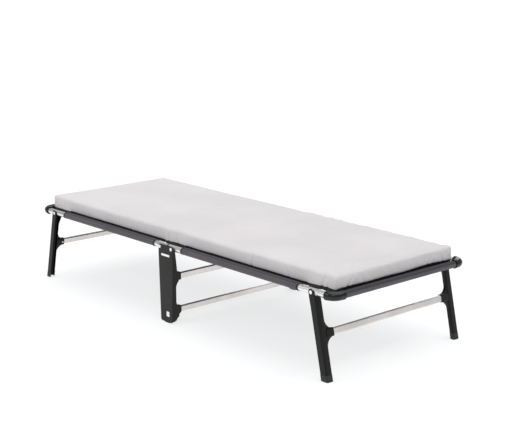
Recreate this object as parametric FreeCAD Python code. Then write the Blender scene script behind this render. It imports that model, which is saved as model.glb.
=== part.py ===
import FreeCAD, Part
import math
import os

from FreeCAD import Vector

# Folding rollaway bed, in millimetres.
# X runs along the bed, Y across it and Z up. The origin is on the floor under the bed's middle.
# Every piece of the right half is built once, and the left half is its mirror image.

# Rails
pivot_height = 312.0
rail_y = 345.5
rail_radius = 12.0
rail_wall = 1.5
rail_inner_end = 4.0
end_rail_x = 927.0
end_rail_half = 299.0
plug_flange = 2.0
plug_depth = 16.0
spigot_gap = 0.1
hole_margin = 1.0

# Corner elbows
bend_radius = 32.0
elbow_radius = 16.5
elbow_band_radius = 17.3
elbow_band_width = 6.0
elbow_socket_x = 892.0
elbow_spigot = 30.0
elbow_rivet_x = 877.0
elbow_rivet_head = 4.0
elbow_rivet_shank = 2.0
elbow_rivet_drop = 1.6

# Hinges
hinge_x = 36.5
leg_pivot_x = 829.0
pin_radius = 4.0
pin_clearance = 0.1
rivet_head_radius = 7.0
rivet_head_height = 2.0
rivet_head_round = 1.4
washer_radius = 9.0
washer_gap = 0.15

# Fabric decks, sleeves and closing strap
sleeve_radius = 13.4
sleeve_start = 87.0
sleeve_end = 757.0
end_sleeve_half = 297.0
deck_thickness = 1.2
deck_hem_x = hinge_x
deck_hem_half = 285.0
deck_edge_half = 342.0
deck_flat_top = 316.7
deck_rim_slope = 10.5
deck_rim_inner_y = 326.6
deck_bank_foot_y = 319.5
deck_end_slope = 28.0
sewn_margin = 2.0
corner_cut_y = 302.0
corner_cut_x = 800.0
corner_cut_pull = 6.0
collar_clearance = 1.5
collar_cut = 8.0
strap_half_width = 20.0
strap_thickness = 1.5
strap_leave_angle = 29.5
strap_tail_bottom = 262.0

# End legs: channels that are open towards the bed's middle, with a shorter flange on the inner side
leg_length = 345.0
leg_tilt = 12.5
leg_half_width = 15.6
leg_cavity_half = 13.9
leg_web_outer = 18.6
leg_web_inner = 16.4
leg_free_edge = -11.4
leg_inner_free_edge = 2.0
leg_outer_round = 7.0
leg_inner_round = 4.0
ear_radius = 12.5
ear_blend = 60.0
shoulder_drop = 16.0
shoulder_step = 0.5
shoulder_start = 4.0
saddle_gap = 1.0
saddle_reach = 60.0
foot_lift = 5.0
foot_cap_height = 24.0
foot_cap_wall = 0.6
foot_zone_behind = 60.0
foot_zone_ahead = 160.0
foot_zone_aside = 40.0

# Crossbars: rounded rectangular tubes
bar_height = 26.0
centre_bar_height = 25.0
bar_depth = 14.0
bar_round = 4.5
bar_wall = 1.5
end_bar_down = 153.0
end_bar_out = 9.0
end_bar_half = 318.0
boss_end = 294.5
boss_height = 31.0
boss_depth = 19.0
boss_round = 4.0
gusset_thickness = 12.0
gusset_reach = 52.0
gusset_tip = 303.0
screw_inset = 9.0
screw_radius = 1.8
screw_head_radius = 3.6
screw_head_height = 1.6
screw_length = 7.0

# Centre legs: a tapered outer plate with a deep spine behind it
plate_outer = 366.0
plate_thickness = 5.0
plate_top = 323.0
plate_top_half = 46.0
plate_shoulder = 285.0
plate_foot_half = 37.0
plate_corner = 10.0
plate_edge_round = 1.2
plate_bottom = 3.0
spine_half = 18.0
spine_top = 294.0
spine_root = 3.0
spine_top_depth = 35.0
spine_waist = 38.0
spine_upper_depth = 44.0
spine_flare = 50.0
spine_foot_height = 12.0
spine_recess_depth = 52.0
centre_bar_z = (45.0, 185.5)
centre_bar_half = 322.0
centre_boss_end = 296.0
pocket_half = 13.0
pocket_floor = 4.0
pocket_corner = 5.0
pocket_ranges = ((94.0, 146.0), (216.0, 282.0))
spine_cutter_reach = 90.0
pad_half_length = 17.0
pad_inset = 1.5
pad_depth = 32.5
pad_corner = 5.0

# Blank badges on the centre legs: middle x, middle z, width and height
badge_thickness = 0.8
badge_corner = 2.0
nameplate = (0.0, 282.0, 52.0, 9.0)
foot_badge = (11.0, 38.0, 18.0, 21.0)

# Mattress
mattress_half_length = 908.0
mattress_half_width = 318.0
mattress_top = 378.0
mattress_gap = 0.5
mattress_corner = 16.0
mattress_top_edge = 11.0
mattress_base_edge = 4.0

X_AXIS = Vector(1, 0, 0)
Y_AXIS = Vector(0, 1, 0)
Z_AXIS = Vector(0, 0, 1)
ORIGIN = Vector(0, 0, 0)


def box(x, y, z):
    """A box from three (low, high) pairs."""
    size = [high - low for low, high in (x, y, z)]
    return Part.makeBox(*size, Vector(x[0], y[0], z[0]))


def rod(start, end, radius):
    """A solid cylinder between two points."""
    direction = end - start
    return Part.makeCylinder(radius, direction.Length, start, direction)


def pipe(start, end, outer, inner):
    return rod(start, end, outer).cut(rod(start, end, inner))


def edges_along(shape, axis, test=lambda point: True):
    """The straight edges parallel to an axis whose middle point passes a test."""
    found = []
    for edge in shape.Edges:
        if not isinstance(edge.Curve, Part.Line):
            continue
        if abs(edge.tangentAt(edge.FirstParameter).dot(axis)) < 0.999:
            continue
        if test(edge.CenterOfMass):
            found.append(edge)
    return found


def profile(steps, place):
    """A face from a start point, then one end point per line or (middle, end) per arc."""
    edges = []
    here = place(*steps[0])
    for step in steps[1:] + [steps[0]]:
        if isinstance(step[0], tuple):
            middle, end = place(*step[0]), place(*step[1])
            edges.append(Part.Arc(here, middle, end).toShape())
        else:
            end = place(*step)
            edges.append(Part.makeLine(here, end))
        here = end
    return Part.Face(Part.Wire(edges))


def concave(start, corner, end):
    """An arc step that hollows the corner and is tangent to the longer of its two sides."""
    to_start = Vector(start[0] - corner[0], start[1] - corner[1], 0)
    to_end = Vector(end[0] - corner[0], end[1] - corner[1], 0)
    long_side, short_side = sorted((to_start, to_end), key=lambda side: -side.Length)
    sweep = 2 * math.atan2(short_side.Length, long_side.Length)
    radius = long_side.Length / math.sin(sweep)
    along = long_side * (1 - radius * math.sin(sweep / 2) / long_side.Length)
    across = short_side * (radius * (1 - math.cos(sweep / 2)) / short_side.Length)
    middle = Vector(*corner, 0) + along + across
    return (middle.x, middle.y), end


def mirror_x(shape):
    return shape.mirror(ORIGIN, X_AXIS)


def mirror_y(shape):
    return shape.mirror(ORIGIN, Y_AXIS)


def turned_round(shape):
    """The same piece fitted on the far side, turned half a turn about Z."""
    other = shape.copy()
    other.rotate(ORIGIN, Z_AXIS, 180)
    return other


def front_and_back(shape):
    return Part.makeCompound([shape, mirror_y(shape)])


def rounded_bar(half_length, height, depth, wall):
    """A rounded rectangular tube along Y, centred on the origin."""
    def solid(inset):
        block = box(
            (inset - depth / 2, depth / 2 - inset),
            (-half_length, half_length),
            (inset - height / 2, height / 2 - inset),
        )
        return block.makeFillet(bar_round - inset, edges_along(block, Y_AXIS))
    return solid(0).cut(solid(wall)), solid(0)


def domed_head(centre, direction):
    """A rivet head whose seat is at centre and which stands out along direction."""
    head = Part.makeCylinder(rivet_head_radius, rivet_head_height, centre, direction)
    seat_distance = rivet_head_height / 2
    rim = [edge for edge in head.Edges
           if (edge.CenterOfMass - centre).dot(direction) > seat_distance and edge.isClosed()]
    return head.makeFillet(rivet_head_round, rim)


def pivot_pin(x, outer_y, inner_y):
    """A rivet through the front rail, with a domed head outside and inside."""
    outside = Vector(x, outer_y, pivot_height)
    inside = Vector(x, inner_y, pivot_height)
    shank = rod(outside, inside, pin_radius)
    return shank.multiFuse([domed_head(outside, -Y_AXIS), domed_head(inside, Y_AXIS)])


def washer(x, start_y, end_y):
    start = Vector(x, start_y, pivot_height)
    end = Vector(x, end_y, pivot_height)
    return pipe(start, end, washer_radius, pin_radius)


def screw(seat, outward):
    """A pan-head screw: the head stands on the seat and the shank goes in behind it."""
    head = Part.makeCylinder(screw_head_radius, screw_head_height, seat, outward)
    shank = Part.makeCylinder(screw_radius, screw_length, seat, outward * -1)
    return head.fuse(shank)


# ---- Rails, elbows and fabric of the right half ----

def elbow_rivet_tool():
    """The front elbow's pop rivet, under the side rail. Its head fits the rail's curve."""
    seat = Vector(elbow_rivet_x, -rail_y, pivot_height - rail_radius)
    head = rod(seat - Z_AXIS * elbow_rivet_drop, seat + Z_AXIS * elbow_rivet_shank, elbow_rivet_head)
    rail_space = rod(Vector(0, -rail_y, pivot_height), Vector(end_rail_x, -rail_y, pivot_height), rail_radius)
    shank = rod(seat - Z_AXIS, seat + Z_AXIS * (2 * rail_wall + elbow_rivet_shank), elbow_rivet_shank)
    return head.cut(rail_space).fuse(shank)


def side_rail():
    tube = pipe(
        Vector(rail_inner_end, -rail_y, pivot_height),
        Vector(elbow_socket_x, -rail_y, pivot_height),
        rail_radius,
        rail_radius - rail_wall,
    )
    for x in (hinge_x, leg_pivot_x):
        start = Vector(x, -rail_y - rail_radius - hole_margin, pivot_height)
        end = Vector(x, -rail_y + rail_radius + hole_margin, pivot_height)
        tube = tube.cut(rod(start, end, pin_radius + pin_clearance))
    return tube.cut(elbow_rivet_tool())


def end_rail():
    return pipe(
        Vector(end_rail_x, -end_rail_half, pivot_height),
        Vector(end_rail_x, end_rail_half, pivot_height),
        rail_radius,
        rail_radius - rail_wall,
    )


def rail_plug():
    flange_start = Vector(rail_inner_end - plug_flange, -rail_y, pivot_height)
    seat = Vector(rail_inner_end, -rail_y, pivot_height)
    tip = Vector(rail_inner_end + plug_depth, -rail_y, pivot_height)
    flange = rod(flange_start, seat, rail_radius)
    return flange.fuse(rod(seat, tip, rail_radius - rail_wall - spigot_gap))


def elbow():
    bend_x = end_rail_x - bend_radius
    bend_y = -rail_y + bend_radius
    circle = Part.makeCircle(elbow_radius, Vector(bend_x, -rail_y, pivot_height), X_AXIS)
    section = Part.Face(Part.Wire(circle))
    bend = section.revolve(Vector(bend_x, bend_y, pivot_height), Z_AXIS, 90)
    side_mouth = Vector(elbow_socket_x, -rail_y, pivot_height)
    end_mouth = Vector(end_rail_x, -end_rail_half, pivot_height)
    spigot_radius = rail_radius - rail_wall - spigot_gap
    pieces = [
        rod(side_mouth, Vector(bend_x, -rail_y, pivot_height), elbow_radius),
        rod(end_mouth, Vector(end_rail_x, bend_y, pivot_height), elbow_radius),
        rod(side_mouth, side_mouth + X_AXIS * elbow_band_width, elbow_band_radius),
        rod(end_mouth, end_mouth - Y_AXIS * elbow_band_width, elbow_band_radius),
        rod(side_mouth, side_mouth - X_AXIS * elbow_spigot, spigot_radius),
        rod(end_mouth, end_mouth + Y_AXIS * elbow_spigot, spigot_radius),
    ]
    return bend.multiFuse(pieces).removeSplitter().cut(elbow_rivet_tool())


def side_sleeve():
    return pipe(
        Vector(sleeve_start, -rail_y, pivot_height),
        Vector(sleeve_end, -rail_y, pivot_height),
        sleeve_radius,
        rail_radius,
    )


def end_sleeve():
    return pipe(
        Vector(end_rail_x, -end_sleeve_half, pivot_height),
        Vector(end_rail_x, end_sleeve_half, pivot_height),
        sleeve_radius,
        rail_radius,
    )


def deck_outline():
    """The panel from above: narrower at the hinge, and hollowed out at the end rail's corners."""
    end_edge = end_rail_x - sleeve_radius * math.sin(math.radians(deck_end_slope))
    collar_edge = end_rail_x - elbow_band_radius - collar_clearance
    curve_start = (sleeve_end - sewn_margin, deck_edge_half)
    curve_end = (corner_cut_x, corner_cut_y)
    corner = (curve_start[0] + corner_cut_pull, corner_cut_y + corner_cut_pull)
    half = profile(
        [
            (deck_hem_x, 0.0),
            (deck_hem_x, deck_hem_half),
            (sleeve_start + sewn_margin, deck_edge_half),
            curve_start,
            concave(curve_start, corner, curve_end),
            (collar_edge - collar_cut, corner_cut_y),
            (collar_edge, end_sleeve_half - sewn_margin),
            (end_edge, end_sleeve_half - sewn_margin),
            (end_edge, 0.0),
        ],
        lambda x, y: Vector(x, y, 0),
    ).extrude(Z_AXIS * (pivot_height + sleeve_radius))
    return half.fuse(mirror_y(half)).removeSplitter()


def below_deck(drop):
    """All the space under the panel's dished top, or under the same surface lowered by drop."""
    rim = math.radians(deck_rim_slope)
    rim_y = rail_y - sleeve_radius * math.sin(rim)
    rim_z = pivot_height + sleeve_radius * math.cos(rim)
    bank_top = rim_z - (rim_y - deck_rim_inner_y) * math.tan(rim)
    across = [
        (-rim_y, rim_z - drop),
        (-deck_rim_inner_y, bank_top - drop),
        (-deck_bank_foot_y, deck_flat_top - drop),
    ]
    section = [(-rim_y, 0.0)] + across + [(-y, z) for y, z in reversed(across)] + [(rim_y, 0.0)]
    trough = profile(section, lambda y, z: Vector(0, y, z)).extrude(X_AXIS * end_rail_x)
    end = math.radians(deck_end_slope)
    end_x = end_rail_x - sleeve_radius * math.sin(end)
    end_z = pivot_height + sleeve_radius * math.cos(end)
    foot_x = end_x - (end_z - deck_flat_top) / math.tan(end)
    ramp = profile(
        [(foot_x, 0.0), (foot_x, deck_flat_top - drop), (end_x, end_z - drop), (end_x, 0.0)],
        lambda x, z: Vector(x, -rim_y, z),
    ).extrude(Y_AXIS * (2 * rim_y))
    return trough.fuse(ramp)


def deck():
    """A fabric panel that dips inside the rails, cut away round the hinges and the corners."""
    panel = deck_outline().common(below_deck(0)).cut(below_deck(deck_thickness))
    far = end_rail_x + elbow_radius
    for y in (-rail_y, rail_y):
        panel = panel.cut(rod(Vector(0, y, pivot_height), Vector(far, y, pivot_height), sleeve_radius))
    end_low, end_high = [Vector(end_rail_x, y, pivot_height) for y in (-rail_y, rail_y)]
    return panel.cut(rod(end_low, end_high, sleeve_radius)).removeSplitter()


def closing_strap():
    """Webbing wrapped round the outside of the left end rail, with a tail that hangs inside it."""
    y_range = (-strap_half_width, strap_half_width)
    centre = Vector(-end_rail_x, 0, pivot_height)
    outer = sleeve_radius + strap_thickness
    middle = sleeve_radius + strap_thickness / 2
    start, end = centre + Y_AXIS * y_range[0], centre + Y_AXIS * y_range[1]
    leave = math.radians(strap_leave_angle)
    far = 4 * outer
    gap = profile(
        [(0.0, 0.0), (0.0, far), (far, far), (far, -far), (far * math.tan(leave), -far)],
        lambda x, z: Vector(centre.x + x, y_range[0], centre.z + z),
    ).extrude(Y_AXIS * (2 * strap_half_width))
    tail_x = centre.x + middle * math.sin(leave)
    tail = box(
        (tail_x - strap_thickness / 2, tail_x + strap_thickness / 2),
        y_range,
        (strap_tail_bottom, centre.z - middle * math.cos(leave)),
    )
    ring = pipe(start, end, outer, sleeve_radius).cut(gap)
    return ring.fuse(tail).cut(rod(start, end, sleeve_radius))


# ---- End legs, built upright under their pivot and then tilted outwards ----

def opened(shape):
    shape.rotate(Vector(leg_pivot_x, 0, pivot_height), Y_AXIS, -leg_tilt)
    return shape


def channel(half, web, free_edge, corner, top, bottom):
    """A bar along Z with its two outboard edges rounded, centred on the front rail."""
    block = box(
        (leg_pivot_x + free_edge, leg_pivot_x + web),
        (-rail_y - half, -rail_y + half),
        (pivot_height - bottom, pivot_height + top),
    )
    outboard = edges_along(block, Z_AXIS, lambda point: point.x > leg_pivot_x)
    return block.makeFillet(corner, outboard)


def flange_outline(free_edge, start_y, end_y):
    """A flange seen from the side: a round ear at the pivot that runs into a straight strip."""
    return profile(
        [
            (-ear_radius, 0.0),
            ((0.0, -ear_radius), (ear_radius, 0.0)),
            (ear_radius + shoulder_step, shoulder_start),
            (leg_web_outer, shoulder_drop),
            (leg_web_outer, leg_length),
            (free_edge, leg_length),
            (free_edge, ear_blend),
            (-ear_radius, ear_blend / 3),
        ],
        lambda out, down: Vector(leg_pivot_x + out, start_y, pivot_height - down),
    ).extrude(Y_AXIS * (end_y - start_y))


def leg_side_outline():
    """The space that the front leg keeps: a deep flange on its outer side and a short one inside."""
    reach = leg_half_width + hole_margin
    outer = flange_outline(leg_free_edge, -rail_y - reach, -rail_y)
    inner = flange_outline(leg_inner_free_edge, -rail_y, -rail_y + reach)
    return outer.fuse(inner)


def end_bar_place(shape):
    shape.translate(Vector(leg_pivot_x + end_bar_out, 0, pivot_height - end_bar_down))
    return shape


def gusset_and_boss():
    """The web that curves in from the leg to the crossbar's socket."""
    wall = -rail_y + leg_half_width - (leg_half_width - leg_cavity_half) / 2
    middle = end_bar_down
    upper_tip = (-gusset_tip, middle - boss_height / 2)
    lower_tip = (-gusset_tip, middle + boss_height / 2)
    upper_root = (wall, middle - gusset_reach)
    lower_root = (wall, middle + gusset_reach)
    out = leg_pivot_x + end_bar_out
    plate = profile(
        [
            upper_root,
            concave(upper_root, (wall, upper_tip[1]), upper_tip),
            lower_tip,
            concave(lower_tip, (wall, lower_tip[1]), lower_root),
        ],
        lambda y, down: Vector(out - gusset_thickness / 2, y, pivot_height - down),
    ).extrude(X_AXIS * gusset_thickness)
    boss = box(
        (out - boss_depth / 2, out + boss_depth / 2),
        (wall, -boss_end),
        (pivot_height - middle - boss_height / 2, pivot_height - middle + boss_height / 2),
    )
    return plate.fuse(boss.makeFillet(boss_round, edges_along(boss, Y_AXIS)))


def end_leg_screw():
    """The screw that holds the crossbar in the front leg's socket, on the inner side."""
    seat = Vector(
        leg_pivot_x + end_bar_out - boss_depth / 2,
        -boss_end - screw_inset,
        pivot_height - end_bar_down,
    )
    return screw(seat, X_AXIS * -1)


def foot_zone(low, high):
    """The space round the tilted front leg's foot, between two heights."""
    return box(
        (leg_pivot_x - foot_zone_behind, leg_pivot_x + foot_zone_ahead),
        (-rail_y - foot_zone_aside, -rail_y + foot_zone_aside),
        (low, high),
    )


def front_leg():
    solid = channel(leg_half_width, leg_web_outer, -ear_radius, leg_outer_round, ear_radius, leg_length)
    cavity = channel(
        leg_cavity_half,
        leg_web_inner,
        -ear_radius - hole_margin,
        leg_inner_round,
        ear_radius + hole_margin,
        leg_length + hole_margin,
    )
    leg = solid.cut(cavity).common(leg_side_outline()).fuse(gusset_and_boss())
    leg = leg.cut(end_bar_place(rounded_bar(end_bar_half, bar_height, bar_depth, bar_wall)[1]))
    leg = leg.cut(end_leg_screw())
    pin_hole = rod(
        Vector(leg_pivot_x, -rail_y - leg_half_width - hole_margin, pivot_height),
        Vector(leg_pivot_x, -rail_y + leg_half_width + hole_margin, pivot_height),
        pin_radius,
    )
    leg = opened(leg.cut(pin_hole))
    saddle = rod(
        Vector(leg_pivot_x, -rail_y, pivot_height),
        Vector(leg_pivot_x + saddle_reach, -rail_y, pivot_height),
        rail_radius + saddle_gap,
    )
    return leg.cut(saddle).cut(foot_zone(-foot_zone_behind, foot_lift)).removeSplitter()


def foot_cap(leg):
    """A shoe that wraps the foot of the channel and stays open where the rail nests."""
    grown = channel(
        leg_half_width + foot_cap_wall,
        leg_web_outer + foot_cap_wall,
        leg_free_edge - foot_cap_wall,
        leg_outer_round + foot_cap_wall,
        0,
        leg_length,
    )
    cavity = channel(
        leg_cavity_half,
        leg_web_inner,
        leg_free_edge - 2 * foot_cap_wall,
        leg_inner_round,
        hole_margin,
        leg_length + hole_margin,
    )
    beyond_inner_flange = box(
        (leg_pivot_x - foot_zone_behind, leg_pivot_x + leg_inner_free_edge - foot_cap_wall),
        (-rail_y, -rail_y + foot_zone_aside),
        (pivot_height - leg_length - hole_margin, pivot_height),
    )
    shoe = opened(grown.cut(cavity).cut(beyond_inner_flange))
    return shoe.common(foot_zone(0, foot_cap_height)).cut(leg)


def leg_pivot_pieces():
    outer_y = -rail_y - leg_half_width
    inner_y = -rail_y + leg_half_width
    pin = pivot_pin(leg_pivot_x, outer_y, inner_y)
    gap = rail_radius + washer_gap
    washers = [
        washer(leg_pivot_x, -rail_y - leg_cavity_half, -rail_y - gap),
        washer(leg_pivot_x, -rail_y + gap, -rail_y + leg_cavity_half),
    ]
    return pin, washers


def end_crossbar():
    tube = end_bar_place(rounded_bar(end_bar_half, bar_height, bar_depth, bar_wall)[0])
    screws = end_leg_screw()
    return opened(tube.cut(screws).cut(mirror_y(screws)))


# ---- Centre legs ----

def centre_plate():
    """The tapered outer plate, with rounded corners and a softened front edge."""
    half_outline = [
        (plate_top_half, plate_top),
        (plate_top_half, plate_shoulder),
        (plate_foot_half, plate_bottom),
    ]
    outline = half_outline + [(-x, z) for x, z in reversed(half_outline)]
    plate = profile(outline, lambda x, z: Vector(x, -plate_outer, z)).extrude(Y_AXIS * plate_thickness)
    corners = edges_along(plate, Y_AXIS, lambda p: abs(p.z - plate_top) < 1 or abs(p.z - plate_bottom) < 1)
    plate = plate.makeFillet(plate_corner, corners)
    front = [edge for edge in plate.Edges if abs(edge.BoundBox.YMax + plate_outer) < 0.01]
    return plate.makeFillet(plate_edge_round, front)


def centre_spine():
    """The deep rib behind the plate, which swells into a boss round each crossbar."""
    low_bar, high_bar = centre_bar_z
    half = boss_height / 2
    tip = plate_outer - centre_boss_end
    upper_start = (spine_upper_depth, high_bar + half + 12.0)
    upper_end = (spine_flare + 2.0, high_bar + half)
    lower_start = (spine_flare + 4.0, high_bar - half)
    lower_end = (spine_waist, high_bar - half - 30.0)
    foot_start = (spine_waist, low_bar + half + 24.0)
    foot_end = (spine_flare + 4.0, low_bar + half)
    outline = profile(
        [
            (spine_root, spine_top),
            (spine_top_depth, spine_top),
            upper_start,
            concave(upper_start, (spine_upper_depth, upper_end[1]), upper_end),
            (tip, high_bar + half),
            (tip, high_bar - half),
            lower_start,
            concave(lower_start, (spine_waist, lower_start[1]), lower_end),
            foot_start,
            concave(foot_start, (spine_waist, foot_end[1]), foot_end),
            (tip, low_bar + half),
            (tip, low_bar - half + 6.0),
            (tip - 6.0, low_bar - half),
            (spine_waist + 4.0, spine_foot_height),
            (spine_waist - 2.0, plate_bottom),
            (spine_root, plate_bottom),
        ],
        lambda depth, z: Vector(-spine_half, -plate_outer + depth, z),
    )
    spine = outline.extrude(X_AXIS * (2 * spine_half))
    cutter_end = -plate_outer + spine_cutter_reach
    pocket_start = -plate_outer + plate_thickness + pocket_floor
    for low, high in pocket_ranges:
        pocket = box((-pocket_half, pocket_half), (pocket_start, cutter_end), (low, high))
        spine = spine.cut(pocket.makeFillet(pocket_corner, edges_along(pocket, Y_AXIS)))
    for side in (-1, 1):
        x_range = sorted((side * boss_depth / 2, side * (spine_half + hole_margin)))
        spine = spine.cut(box(x_range, (-plate_outer + spine_recess_depth, cutter_end), (0, spine_top)))
    return spine


def centre_bar(z):
    tube, solid = rounded_bar(centre_bar_half, centre_bar_height, bar_depth, bar_wall)
    for shape in (tube, solid):
        shape.translate(Vector(0, 0, z))
    return tube, solid


def centre_bar_screw(z):
    return screw(Vector(0, -centre_boss_end - screw_inset, z - boss_height / 2), Z_AXIS * -1)


def centre_leg():
    leg = centre_plate().fuse(centre_spine())
    for z in centre_bar_z:
        leg = leg.cut(centre_bar(z)[1]).cut(centre_bar_screw(z))
    for side in (-1, 1):
        x = side * hinge_x
        start = Vector(x, -plate_outer - hole_margin, pivot_height)
        end = Vector(x, -plate_outer + plate_thickness + hole_margin, pivot_height)
        leg = leg.cut(rod(start, end, pin_radius))
    return leg.removeSplitter()


def foot_pad():
    pad = box(
        (-pad_half_length, pad_half_length),
        (-plate_outer + pad_inset, -plate_outer + pad_inset + pad_depth),
        (0, plate_bottom),
    )
    return pad.makeFillet(pad_corner, edges_along(pad, Z_AXIS))


def blank_badge(x, z, width, height):
    """A plain raised plate on the centre leg's outer face."""
    badge = box(
        (x - width / 2, x + width / 2),
        (-plate_outer - badge_thickness, -plate_outer),
        (z - height / 2, z + height / 2),
    )
    return badge.makeFillet(badge_corner, edges_along(badge, Y_AXIS))


def mattress():
    """A slab that lies on the dished decks, with softer edges on top than underneath."""
    base = deck_flat_top + mattress_gap
    block = box(
        (-mattress_half_length, mattress_half_length),
        (-mattress_half_width, mattress_half_width),
        (base, mattress_top),
    )
    block = block.makeFillet(mattress_corner, edges_along(block, Z_AXIS))
    for height, radius in ((mattress_top, mattress_top_edge), (base, mattress_base_edge)):
        rim = [edge for edge in block.Edges
               if abs(edge.BoundBox.ZMin - height) < 0.01 and abs(edge.BoundBox.ZMax - height) < 0.01]
        block = block.makeFillet(radius, rim)
    return block


# ---- Assembly ----

def half_nodes(prefix, place):
    rail, corner, sleeve = side_rail(), elbow(), side_sleeve()
    return {
        prefix + "_side_rail_front": place(rail),
        prefix + "_side_rail_back": place(mirror_y(rail)),
        prefix + "_end_rail": place(end_rail()),
        prefix + "_elbow_front": place(corner),
        prefix + "_elbow_back": place(mirror_y(corner)),
        prefix + "_elbow_rivets": place(front_and_back(elbow_rivet_tool())),
        prefix + "_rail_plugs": place(front_and_back(rail_plug())),
        prefix + "_sleeve_front": place(sleeve),
        prefix + "_sleeve_back": place(mirror_y(sleeve)),
        prefix + "_sleeve_end": place(end_sleeve()),
        prefix + "_deck": place(deck()),
    }


def leg_nodes(prefix, place):
    leg = front_leg()
    pin, washers = leg_pivot_pieces()
    return {
        prefix + "_end_leg_front": place(leg),
        prefix + "_end_leg_back": place(mirror_y(leg)),
        prefix + "_end_crossbar": place(end_crossbar()),
        prefix + "_foot_caps": place(front_and_back(foot_cap(leg))),
        prefix + "_leg_pivot_pins": place(front_and_back(pin)),
        prefix + "_leg_pivot_washers": place(front_and_back(Part.makeCompound(washers))),
        prefix + "_crossbar_screws": place(front_and_back(opened(end_leg_screw()))),
    }


def centre_nodes():
    leg = centre_leg()
    pin_end = -rail_y + rail_radius + 2 * washer_gap
    pins = [pivot_pin(side * hinge_x, -plate_outer, pin_end) for side in (-1, 1)]
    washer_y = (-plate_outer + plate_thickness, -rail_y - rail_radius - washer_gap)
    washers = [washer(side * hinge_x, *washer_y) for side in (-1, 1)]
    screws = []
    for z in centre_bar_z:
        tool = centre_bar_screw(z)
        screws += [tool, mirror_y(tool)]
    screw_group = Part.makeCompound(screws)
    nameplate_front, foot_badge_front = blank_badge(*nameplate), blank_badge(*foot_badge)
    lower_bar, upper_bar = [centre_bar(z)[0].cut(screw_group) for z in centre_bar_z]
    return {
        "centre_leg_front": leg,
        "centre_leg_back": turned_round(leg),
        "centre_crossbar_lower": lower_bar,
        "centre_crossbar_upper": upper_bar,
        "centre_crossbar_screws": screw_group,
        "centre_foot_pads": front_and_back(foot_pad()),
        "centre_hinge_pins": front_and_back(Part.makeCompound(pins)),
        "centre_hinge_washers": front_and_back(Part.makeCompound(washers)),
        "centre_nameplates": Part.makeCompound([nameplate_front, turned_round(nameplate_front)]),
        "centre_foot_badges": Part.makeCompound([foot_badge_front, turned_round(foot_badge_front)]),
    }


def main():
    nodes = centre_nodes()
    for prefix, place in (("right", lambda shape: shape), ("left", mirror_x)):
        nodes.update(half_nodes(prefix, place))
        nodes.update(leg_nodes(prefix, place))
    nodes["left_closing_strap"] = closing_strap()
    nodes["mattress"] = mattress()
    os.makedirs("parts", exist_ok=True)
    for name, shape in nodes.items():
        solids = shape.Solids
        if not solids or not all(solid.isValid() for solid in solids):
            raise ValueError("not a valid solid: " + name)
        shape.exportStep("parts/" + name + ".step")
        print(name, len(solids), "solid(s),", round(shape.Volume / 1000, 1), "cm3")


main()
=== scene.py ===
import math

import bmesh
import bpy
import numpy as np
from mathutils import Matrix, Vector, noise


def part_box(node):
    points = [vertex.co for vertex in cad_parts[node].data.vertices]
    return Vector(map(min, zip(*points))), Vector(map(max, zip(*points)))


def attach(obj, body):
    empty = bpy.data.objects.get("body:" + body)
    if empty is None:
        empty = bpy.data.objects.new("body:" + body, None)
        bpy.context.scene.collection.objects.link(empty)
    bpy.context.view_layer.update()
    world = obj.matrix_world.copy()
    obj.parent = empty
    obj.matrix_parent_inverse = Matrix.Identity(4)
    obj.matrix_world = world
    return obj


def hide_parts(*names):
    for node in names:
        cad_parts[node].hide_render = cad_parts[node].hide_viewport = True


# Looks of a folding rollaway bed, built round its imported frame. Lengths are in metres.

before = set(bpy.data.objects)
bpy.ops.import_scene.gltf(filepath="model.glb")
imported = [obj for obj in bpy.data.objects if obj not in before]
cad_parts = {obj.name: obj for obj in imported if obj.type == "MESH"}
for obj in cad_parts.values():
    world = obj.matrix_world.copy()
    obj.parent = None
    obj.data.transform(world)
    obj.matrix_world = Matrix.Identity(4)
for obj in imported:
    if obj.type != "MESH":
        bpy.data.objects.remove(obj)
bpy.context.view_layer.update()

SIDES = {"right": 1, "left": -1}
ENDS = {"front": -1, "back": 1}

# Camera
CAMERA_PLACE = (3.666, -3.126, 1.504)
CAMERA_AZIMUTH = 48.07
CAMERA_ELEVATION = 12.90
CAMERA_LENS = 80.48

# Deck fabric
CLOTH_THICKNESS = 0.0012
HEM_REACH = 0.0175
END_HEM_REACH = 0.038
NEST_ANGLE = math.radians(40)
DECK_SAG = 0.003
DECK_FLAT_TOP = 0.3167
DECK_RIM_ANGLE = math.radians(10.5)
DECK_RIM_INNER_Y = 0.3266
DECK_BANK_FOOT_Y = 0.3195
DECK_END_ANGLE = math.radians(28.0)
HINGE_HEM_HALF = 0.285
CORNER_CUT_Y = 0.302
CORNER_CUT_X = 0.800
COLLAR_LENGTH = 0.019
SEAM_INSET = 0.001
END_HEM_INSET = 0.002
SIDE_HEM_X = 0.4
PULL_DEPTH = 0.0005
PULL_REACH = 0.16
PULL_RATE = 14
SLEEVE_STEPS = 96
END_SLEEVE_STEPS = 80
SLEEVE_RIPPLE = 0.00025
# Painted shade on the sleeves' tops next to the deck's rim: how far along the cloth it reaches, for the side
# and the end sleeves
SIDE_SLEEVE_PAINTED_SHADE_REACH = 0.012
END_SLEEVE_PAINTED_SHADE_REACH = 0.025

# Binding tape on the deck's free edges
TAPE_WIDTH = 0.010
TAPE_THICKNESS = 0.0022
TAPE_OVERHANG = 0.001
CORNER_TAPE_SHIFT = 0.0008
CUFF_WIDTH = 0.008
CUFF_HEIGHT = 0.0005
CUFF_OVERHANG = 0.0005

# Stitches
STITCH_PITCH = 0.0046
STITCH_LENGTH = 0.0031
STITCH_RADIUS = 0.00028
STITCH_ROW_GAP = 0.004
SIDE_STITCH_MARGIN = 0.006
END_STITCH_MARGIN = 0.008

# Closing strap
STRAP_THICKNESS = 0.0015
STRAP_LEAVE_ANGLE = 29.5
STRAP_RIB_DEPTH = 0.00016
STRAP_RIB_RATE = 40
STRAP_TAIL_WAVE = 0.0006
STRAP_TAIL_GAP = 0.001

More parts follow.
